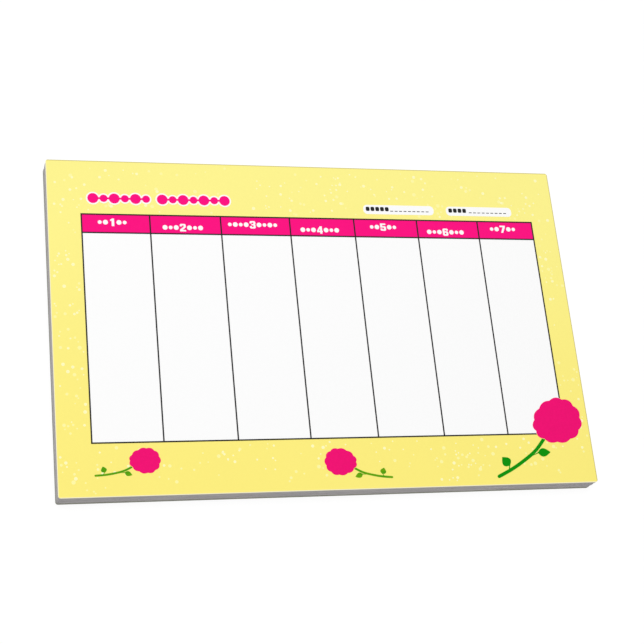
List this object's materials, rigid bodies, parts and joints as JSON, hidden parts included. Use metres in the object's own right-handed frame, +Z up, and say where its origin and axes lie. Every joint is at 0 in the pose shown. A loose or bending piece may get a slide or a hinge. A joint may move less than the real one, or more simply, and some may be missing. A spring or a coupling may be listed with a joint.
{
  "type": "weekly planner pad",
  "caption": "Desk pad of tear-off planner sheets on a stiff board, printed with a weekly grid, a header band, write-in fields and flowers.",
  "frame": {"origin": "middle of the pad's footprint, on the surface that it lies on", "axes": "+X along the pad's long edge to the reader's right, +Y to the glued edge away from the reader, +Z up out of the printed sheet"},
  "size_m": [0.33, 0.2106, 0.0149],
  "materials": {
    "greyboard": "matte, fibrous",
    "sheet_edge": "matte, cut sheet edges",
    "padding_glue": "dried padding glue, slightly shiny",
    "white_paper": "matte, uncoated",
    "yellow_print": "matte print",
    "pink_print": "matte print",
    "bloom_print": "matte print",
    "green_print": "matte print",
    "black_print": "matte print"
  },
  "bodies": {
    "root": {"backing_board": "greyboard", "sheet_block": "sheet_edge", "binding_glue": "padding_glue", "yellow_border": "yellow_print", "header_band": "pink_print", "writing_field": "white_paper", "ruling": "black_print", "blossom_left": "bloom_print", "blossom_middle": "bloom_print", "blossom_corner": "bloom_print", "stem_left": "green_print", "stem_middle": "green_print", "stem_corner": "green_print", "day_number_1": "white_paper", "day_number_2": "white_paper", "day_number_3": "white_paper", "day_number_4": "white_paper", "day_number_5": "white_paper", "day_number_6": "white_paper", "day_number_7": "white_paper", "title_outline_left": "white_paper", "title_outline_right": "white_paper", "title_beads_left": "pink_print", "title_beads_right": "pink_print", "month_field": "white_paper", "week_field": "white_paper"}
  },
  "joints": []
}
